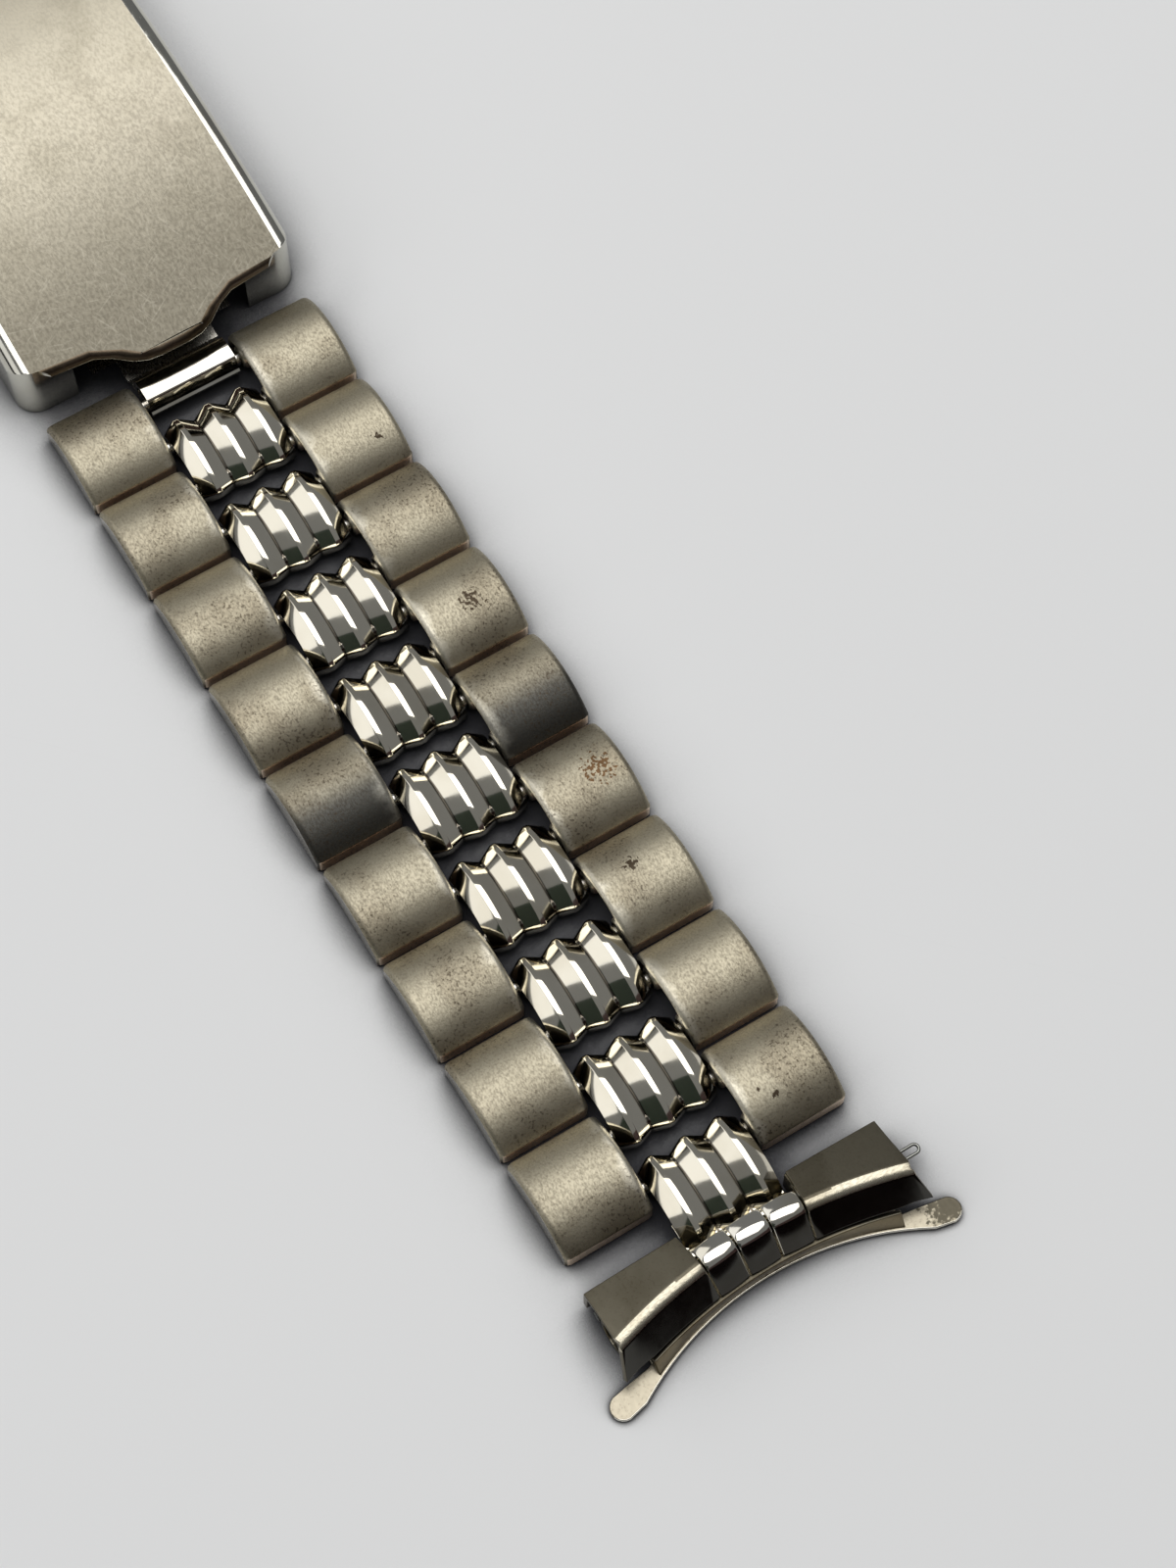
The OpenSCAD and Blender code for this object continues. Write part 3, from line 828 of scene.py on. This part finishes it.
def blot_group():
    """A stain with a ragged edge about one point."""
    values = [("Place", None), ("Radius", 0.0005), ("Ragged", 3.0)]
    group, start, end = new_group("blot", values, "Blot")
    place = start.outputs["Vector"]
    away = group.nodes.new("ShaderNodeVectorMath")
    away.operation = "DISTANCE"
    group.links.new(place, away.inputs[0])
    group.links.new(start.outputs["Place"], away.inputs[1])
    wobble = put(group, "ShaderNodeTexNoise", Vector=place, Scale=4200.0, Detail=3.0)
    share = math_node(group, "DIVIDE", away.outputs["Value"], start.outputs["Radius"])
    noise = math_node(group, "SUBTRACT", wobble.outputs["Fac"], 0.5)
    noise = math_node(group, "MULTIPLY", noise, start.outputs["Ragged"])
    share = math_node(group, "ADD", share, noise)
    group.links.new(ramp(group, share, 0.55, 0.3), end.inputs["Blot"])
    return group


GRAIN = grain_group()
TARNISH = tarnish_group()
PAINTED_LOW_SHADE = painted_low_shade_group()
RUBBED_HIGHLIGHT = rubbed_highlight_group()
SCRATCHES = scratch_group()
BLOT = blot_group()
VALLEY_DARKENING = valley_darkening_group()
FADE = fade_group()
print("groups:", [g.name for g in (GRAIN, TARNISH, PAINTED_LOW_SHADE, RUBBED_HIGHLIGHT, SCRATCHES, BLOT, VALLEY_DARKENING, FADE)])

# %% [markdown]
# The finishes differ in how much they scatter and how they have aged. Satin links and the cover
# scatter widely, and the centre links and the end links' barrels are nearly mirrors. The wings of
# the end links are matt, and their dark colour is a painted reflection, as are the tan link ends,
# the brown lip and the black skirts. The apron gets a painted shade and the fold a painted
# highlight. One function builds them all, so that a finish is one call with the wear, painted shade
# or painted highlight it shows.

# %% Finishes
def use_group(tree, group, place, **values):
    """Places a shared group in a material and feeds it the object's own coordinates."""
    node = tree.nodes.new("ShaderNodeGroup")
    node.node_tree = group
    tree.links.new(place, node.inputs["Vector"])
    for key, value in values.items():
        node.inputs[key.replace("_", " ")].default_value = value
    return node.outputs


def mix_colour(tree, share, a, b):
    """Goes from colour a to colour b with the share."""
    node = tree.nodes.new("ShaderNodeMix")
    node.data_type = "RGBA"
    for k, value in ((0, share), (6, a), (7, b)):
        feed(tree, node.inputs[k], (*value, 1) if isinstance(value, tuple) else value)
    return node.outputs[2]


# Dark brown for specks, stains and grain, and also for the painted shade low down and the darker
# valleys.
DIRT_AND_SHADE = (0.06, 0.045, 0.03)
RUST = (0.12, 0.07, 0.035)
BARE_AND_HIGHLIGHT = (0.82, 0.78, 0.66)
SCRATCHED = (0.8, 0.76, 0.64)
BAND_INNER = 3.4
BAND_WIDTH = 0.75


def steel(
    name, colour, shade, roughness, bump, along, across,
    specks=0.0, painted_shade_top=0.0, rubbed_highlight=0.0, scratches=0.0, mottle=0.0,
    valleys=False, fade=None, blots=(),
):
    """A steel that has seen wear: two close colours mixed by patches, then wear, stains, specks and
    scratches, and painted shade and painted highlight where asked.

    Bump, fade and blots are in millimetres, along and across are the density of the grain.
    """
    material = bpy.data.materials.new(name)
    material.use_nodes = True
    tree = material.node_tree
    shader = tree.nodes["Principled BSDF"]
    shader.inputs["Metallic"].default_value = 1.0
    place = tree.nodes.new("ShaderNodeTexCoord").outputs["Object"]
    grain = use_group(tree, GRAIN, place, Along=along, Across=across)["Grain"]
    tarnish = use_group(tree, TARNISH, place)
    finish = mix_colour(tree, tarnish["Patches"], colour, shade)
    rough = ramp(tree, grain, 0.2, 0.8, roughness * 0.8, roughness * 1.2)
    # Painted shade: the colour darkens along the strap, over one row and towards the cover's lip.
    if fade:
        begin, length, faded = fade
        share = use_group(tree, FADE, place, From=begin * MM, Length=length * MM)["Fade"]
        finish = mix_colour(tree, share, finish, faded)
    if mottle:
        finish = mix_colour(tree, ramp(tree, grain, 0.4, 0.65, 0.0, mottle), finish, DIRT_AND_SHADE)
    # Wear and painted highlight: the band along the inner edges is painted bright and made
    # smoother.
    if rubbed_highlight:
        inner, width = BAND_INNER * MM, BAND_WIDTH * MM
        band = use_group(tree, RUBBED_HIGHLIGHT, place, Inner=inner, Width=width)["Rubbed"]
        band = math_node(tree, "MULTIPLY", band, rubbed_highlight)
        finish = mix_colour(tree, band, finish, BARE_AND_HIGHLIGHT)
        rough = math_node(tree, "MULTIPLY", rough, ramp(tree, band, 0.0, 1.0, 1.0, 0.75))
    if scratches:
        lines = use_group(tree, SCRATCHES, place)["Scratches"]
        lines = math_node(tree, "MULTIPLY", lines, scratches)
        finish = mix_colour(tree, lines, finish, SCRATCHED)
    if specks:
        share = math_node(tree, "MULTIPLY", tarnish["Specks"], specks)
        finish = mix_colour(tree, share, finish, DIRT_AND_SHADE)
    for spot, radius, ragged, stain in blots:
        where = [c * MM for c in spot]
        blot = use_group(tree, BLOT, place, Place=where, Radius=radius * MM, Ragged=ragged)["Blot"]
        finish = mix_colour(tree, blot, finish, stain)
    # The valleys between the ridges are painted darker.
    if valleys:
        finish = mix_colour(tree, use_group(tree, VALLEY_DARKENING, place)["Valleys"], finish, DIRT_AND_SHADE)
    # Painted shade: low down, in the gaps between the links, the colour goes near black.
    if painted_shade_top:
        grime = use_group(tree, PAINTED_LOW_SHADE, place, Top=painted_shade_top * MM)["Grime"]
        finish = mix_colour(tree, grime, finish, DIRT_AND_SHADE)
    tree.links.new(finish, shader.inputs["Base Color"])
    tree.links.new(rough, shader.inputs["Roughness"])
    height = put(tree, "ShaderNodeBump", Height=grain, Strength=1.0, Distance=bump * MM)
    tree.links.new(height.outputs["Normal"], shader.inputs["Normal"])
    return material


LINK_BLOTS = (
    ((46.9, 7.3, 2.6), 1.1, 5.0, RUST),
    ((53.0, 5.9, 2.6), 0.6, 4.0, DIRT_AND_SHADE),
    ((68.6, 5.4, 2.4), 0.4, 2.5, DIRT_AND_SHADE),
    ((67.9, 4.7, 2.5), 0.22, 2.0, DIRT_AND_SHADE),
    ((21.6, 7.6, 2.5), 0.5, 4.0, DIRT_AND_SHADE),
    ((34.0, 6.6, 2.6), 0.9, 5.0, DIRT_AND_SHADE),
)
# The ear on the +Y side is painted darker, though both ears lie flat alike.
EAR_DARKENING = (((78.3, 10.6, 0.4), 3.4, 1.2, (0.07, 0.062, 0.045)),)
# Painted shade: one row's links go near black over their lower half, as if the row were tilted away
# from the light.
ROW_PAINTED_SHADE = (39.1, 2.4, (0.07, 0.068, 0.06))
# Painted shade: the cover's satin darkens towards the lip, where its arched top turns away from the
# light.
COVER_PAINTED_SHADE = (-14.0, 22.0, (0.15, 0.136, 0.105))
SATIN = ((0.388, 0.35, 0.261), (0.294, 0.258, 0.187), 0.48, 0.01, 5000.0, 9000.0)
satin = steel(
    "satin_steel", *SATIN, specks=0.7, painted_shade_top=1.0, rubbed_highlight=0.5, mottle=0.22, blots=LINK_BLOTS
)
row_satin_painted_shade = steel(
    "tilted_satin_steel", *SATIN, specks=0.7, painted_shade_top=1.0, rubbed_highlight=0.3, mottle=0.22, fade=ROW_PAINTED_SHADE
)
link_side = steel(
    "link_side_steel", (0.62, 0.6, 0.55), (0.45, 0.42, 0.36), 0.22, 0.004, 3000.0, 3000.0,
    specks=0.9,
)
# Painted reflection: the link ends down in the row gaps are tan for the shaded paper they reflect.
link_end_painted_reflection = steel(
    "link_end_steel", (0.78, 0.64, 0.5), (0.62, 0.48, 0.36), 0.45, 0.003, 5000.0, 9000.0, specks=0.5
)
mirror = steel(
    "mirror_steel", (0.78, 0.735, 0.62), (0.72, 0.67, 0.55), 0.09, 0.0006, 900.0, 1500.0,
    painted_shade_top=1.05, valleys=True,
)
cover_satin = steel(
    "cover_satin_steel", (0.57, 0.52, 0.41), (0.49, 0.445, 0.345), 0.42, 0.004, 3500.0, 6000.0,
    scratches=0.06, mottle=0.12, fade=COVER_PAINTED_SHADE,
)
cover_side = steel(
    "cover_side_steel", (0.55, 0.54, 0.48), (0.5, 0.48, 0.42), 0.14, 0.001, 900.0, 1500.0
)
# Painted reflection: the rolled lip is dark brown for the dark surroundings it faces.
lip_painted_reflection = steel(
    "lip_edge_steel", (0.13, 0.1, 0.07), (0.08, 0.06, 0.038), 0.35, 0.004, 3000.0, 5000.0,
    specks=0.4,
)
# Painted reflection: the wings' satin is made dark for the dark surroundings it reflects.
wing_painted_reflection = steel(
    "dull_end_steel", (0.125, 0.112, 0.082), (0.1, 0.088, 0.062), 0.36, 0.003, 9000.0, 16000.0,
    specks=0.4,
)
# Painted highlight: the fold is a brighter copy of the wings' satin, which keeps its highlight
# bright.
fold = steel(
    "fold_steel", (0.5, 0.46, 0.36), (0.4, 0.36, 0.27), 0.28, 0.006, 9000.0, 3000.0, mottle=0.3
)
# Painted shade: the apron under the skirt is dark brown.
apron_painted_shade = steel(
    "stained_end_steel", (0.2, 0.165, 0.105), (0.11, 0.085, 0.05), 0.35, 0.004, 3000.0, 5000.0,
    specks=0.6,
)
polished_end = steel(
    "polished_end_steel", (0.74, 0.71, 0.63), (0.66, 0.62, 0.52), 0.1, 0.0006, 900.0, 1500.0
)
# Painted reflection: the polished skirt and barrel fronts are near black for the dark room they
# reflect.
skirt_steel = steel(
    "skirt_steel", (0.06, 0.058, 0.052), (0.045, 0.042, 0.036), 0.14, 0.001, 900.0, 1500.0
)
foot_top = steel(
    "foot_steel", (0.33, 0.295, 0.225), (0.27, 0.24, 0.175), 0.33, 0.003, 3000.0, 5000.0,
    specks=0.8, blots=EAR_DARKENING,
)
wire = steel("cotter_wire_steel", (0.26, 0.26, 0.24), (0.2, 0.2, 0.18), 0.3, 0.002, 9000.0, 9000.0)
blade = steel("blade_steel", (0.6, 0.57, 0.5), (0.5, 0.47, 0.4), 0.25, 0.003, 2000.0, 12000.0)
pin = steel("pin_steel", (0.62, 0.6, 0.56), (0.5, 0.47, 0.42), 0.2, 0.002, 9000.0, 9000.0)
print("finishes:", [m.name for m in bpy.data.materials if m.use_nodes])

# %% [markdown]
# A pressed piece doesn't look the same all over: its cut edges, its side walls and its folds
# differ, and some of its faces get painted shade, painted reflection or a painted highlight. So
# some pieces carry several finishes, and each face takes one by where it is and which way it
# points. The heights and distances below are those of the folds that were bent above.

# %% Give each piece its finish
# The row whose links get a painted shade over their lower half.
PAINTED_SHADE_ROW = 5
WALL_Y = 8.88
GAP_TOP = 1.25
LIP_TILT = 0.31
SIDE_TILT = 0.02
SQUARE_ON = 0.9
END_TILT = 0.8
SKIRT_TILT = 0.62
FOLD_TILT = -0.12
EDGE_TILT = 0.25
APRON_TILT = 0.2
FOOT_TOP = 0.42
SKIRT_LOW = 1.6
FOLD_LOW = 2.9
FOOT_FACE = 0.45
HOOD_HALF = 1.5
HOOD_LOW = 0.7


def finish_piece(obj, material):
    """Puts one material on the whole piece."""
    obj.data.materials.clear()
    obj.data.materials.append(material)


def finish_outer(obj, top):
    """Satin on top, a plain wall at the outer side, and ends down in the gaps between rows painted
    tan, a painted reflection.
    """
    finish_piece(obj, top)
    obj.data.materials.append(link_side)
    obj.data.materials.append(link_end_painted_reflection)
    for face in obj.data.polygons:
        y, z = face.center.y / MM, face.center.z / MM
        if abs(y) > WALL_Y and abs(face.normal.y) > SQUARE_ON:
            face.material_index = 1
        elif abs(face.normal.x) > END_TILT and z < GAP_TOP:
            face.material_index = 2


def finish_cover(obj):
    """Satin on top, bright side walls and shoulders, and a rolled edge at the lip painted dark
    brown, a painted reflection.
    """
    finish_piece(obj, cover_satin)
    obj.data.materials.append(cover_side)
    obj.data.materials.append(lip_painted_reflection)
    for face in obj.data.polygons:
        y, z = face.center.y / MM, face.center.z / MM
        forwards = face.normal.x > LIP_TILT
        if forwards and z > LIP_LOW and abs(y) < LIP_HALF:
            face.material_index = 2
        elif forwards or abs(face.normal.y) > SIDE_TILT:
            face.material_index = 1


def polish_fold(obj, way):
    """Barrels are polished, the fold gets a painted highlight, the skirt a painted dark reflection
    and the apron a painted shade.
    """
    for material in (polished_end, apron_painted_shade, fold, skirt_steel, foot_top):
        obj.data.materials.append(material)
    barrel, apron, fold_highlight, skirt, foot = range(1, 6)
    for face in obj.data.polygons:
        y, z = face.center.y / MM, face.center.z / MM
        forwards = face.normal.x * way
        if z > SKIRT_LOW and forwards > SKIRT_TILT:
            face.material_index = skirt
        elif z > SKIRT_LOW and abs(y) < NOTCH_HALF:
            face.material_index = barrel
        elif z > FOLD_LOW and forwards > FOLD_TILT:
            face.material_index = fold_highlight
        elif z < FOOT_TOP and forwards > EDGE_TILT:
            face.material_index = barrel
        elif z < FOOT_FACE and face.normal.z > SQUARE_ON:
            face.material_index = foot
        elif FOOT_TOP < z < SKIRT_LOW and forwards > APRON_TILT:
            face.material_index = apron


def polish_hood(obj):
    """The hood over the first link pin is the only polished place on the inner blade."""
    obj.data.materials.append(polished_end)
    pin_x = row_middle(1) - PIN_X * MM
    for face in obj.data.polygons:
        if abs(face.center.x - pin_x) < HOOD_HALF * MM and face.center.z > HOOD_LOW * MM:
            face.material_index = 1


for i, obj in enumerate(outer_pieces, start=1):
    finish_outer(obj, row_satin_painted_shade if i == PAINTED_SHADE_ROW else satin)
for obj in centre_pieces:
    finish_piece(obj, mirror)
finish_cover(cover)
for obj in blades:
    finish_piece(obj, blade)
polish_hood(blades[1])
for obj, way in zip(end_links, (1, -1)):
    finish_piece(obj, wing_painted_reflection)
    polish_fold(obj, way)
for obj in cotters:
    finish_piece(obj, wire)
for name, node in frame["nodes"].items():
    if name.startswith("link_pins") or name.endswith("hinge_pin") or name == "spring_bar":
        finish_piece(node, pin)
print("every piece has its finish")

# %% [markdown]
# The bracelet lies on off-white paper, which darkens close to the steel and in the gaps of the
# strap. A wide soft light hangs over it and a second one stands to its left. Three dark flags,
# one maroon, one green and one black, are seen by nothing but the gloss: they give the polished
# links the dark streaks of the photo. The camera stands where the corners of the nine rows in the
# photo put it.

# %% Paper, light and camera
only()
STRAP_MIDDLE = (0.0466, 0, 0)
bpy.ops.mesh.primitive_plane_add(size=3, location=(STRAP_MIDDLE[0], 0, -0.05 * MM))
paper = bpy.context.object
paper.name = "paper"
paper_look = bpy.data.materials.new("paper_white")
paper_look.use_nodes = True
PAPER = (0.75, 0.75, 0.745)
PAPER_PAINTED_SHADE = (0.03, 0.03, 0.035)
paper_tree = paper_look.node_tree
paper_shader = paper_tree.nodes["Principled BSDF"]
paper_shader.inputs["Roughness"].default_value = 0.9
# Painted shade: the paper's colour goes dark by ambient occlusion near the steel and in the gaps of
# the strap.
shade = paper_tree.nodes.new("ShaderNodeAmbientOcclusion")
shade.inputs["Distance"].default_value = 6 * MM
shade.inputs["Color"].default_value = (*PAPER, 1)
shade.samples = 8
openness = ramp(paper_tree, shade.outputs["AO"], 0.38, 0.93)
paper_with_painted_shade = mix_colour(paper_tree, openness, PAPER_PAINTED_SHADE, PAPER)
paper_tree.links.new(paper_with_painted_shade, paper_shader.inputs["Base Color"])
paper.data.materials.append(paper_look)


def soft_light(name, place, target, size, power):
    """A rectangular area lamp that points from place at target."""
    lamp = bpy.data.lights.new(name, "AREA")
    lamp.shape = "RECTANGLE"
    lamp.size, lamp.size_y = size
    lamp.energy = power
    obj = bpy.data.objects.new(name, lamp)
    obj.location = place
    obj.rotation_euler = (Vector(target) - Vector(place)).to_track_quat("-Z", "Y").to_euler()
    bpy.context.scene.collection.objects.link(obj)
    return obj


soft_light("overhead_softbox", (-0.12, 0.08, 0.75), STRAP_MIDDLE, (0.85, 0.8), 5.2)
soft_light("left_softbox", (-0.36, -0.46, 0.38), STRAP_MIDDLE, (1.3, 0.38), 1.5)
world = bpy.data.worlds.new("studio")
bpy.context.scene.world = world
world.use_nodes = True
sky = world.node_tree.nodes["Background"]
sky.inputs["Color"].default_value = (0.95, 0.97, 1.0, 1)
sky.inputs["Strength"].default_value = 0.2


def dark_flag(name, place, size, colour):
    """A dark card that only the gloss of the metal sees."""
    look = bpy.data.materials.new(name)
    look.use_nodes = True
    look.node_tree.nodes["Principled BSDF"].inputs["Base Color"].default_value = (*colour, 1)
    only()
    bpy.ops.mesh.primitive_plane_add(size=1)
    flag = bpy.context.object
    flag.name = name
    flag.scale = (size[0], size[1], 1)
    flag.location = place
    towards = Vector(STRAP_MIDDLE) - flag.location
    flag.rotation_euler = towards.to_track_quat("Z", "Y").to_euler()
    flag.data.materials.append(look)
    flag.visible_camera = False
    flag.visible_diffuse = False
    flag.visible_shadow = False


dark_flag("right_flag", (0.6, 0.15, 0.2), (0.95, 0.42), (0.03, 0.008, 0.008))
dark_flag("near_flag", (0.4, -0.4, 0.28), (0.4, 0.5), (0.008, 0.02, 0.01))
dark_flag("left_flag", (-0.15, -0.6, 0.07), (1.3, 0.15), (0.01, 0.01, 0.01))

camera = bpy.data.cameras.new("photo_camera")
camera.sensor_fit = "VERTICAL"
camera.sensor_height = 24
camera.lens = 49.5
camera.clip_start = 0.01
camera_object = bpy.data.objects.new("photo_camera", camera)
aim = Vector((46.6, 6.93, 0)) * MM
azimuth, elevation, distance = math.radians(58.6), math.radians(65.8), 186 * MM
forward = Vector((
    -math.sin(azimuth) * math.cos(elevation),
    math.cos(azimuth) * math.cos(elevation),
    -math.sin(elevation),
))
camera_object.location = aim - forward * distance
camera_object.rotation_euler = forward.to_track_quat("-Z", "Y").to_euler()
bpy.context.scene.collection.objects.link(camera_object)
bpy.context.scene.camera = camera_object
bpy.context.scene.view_settings.view_transform = "Standard"
print("camera at", [round(c / MM, 1) for c in camera_object.location])

# %% [markdown]
# The last cell only prints that the script has run to its end.

# %% End
print("script finished")
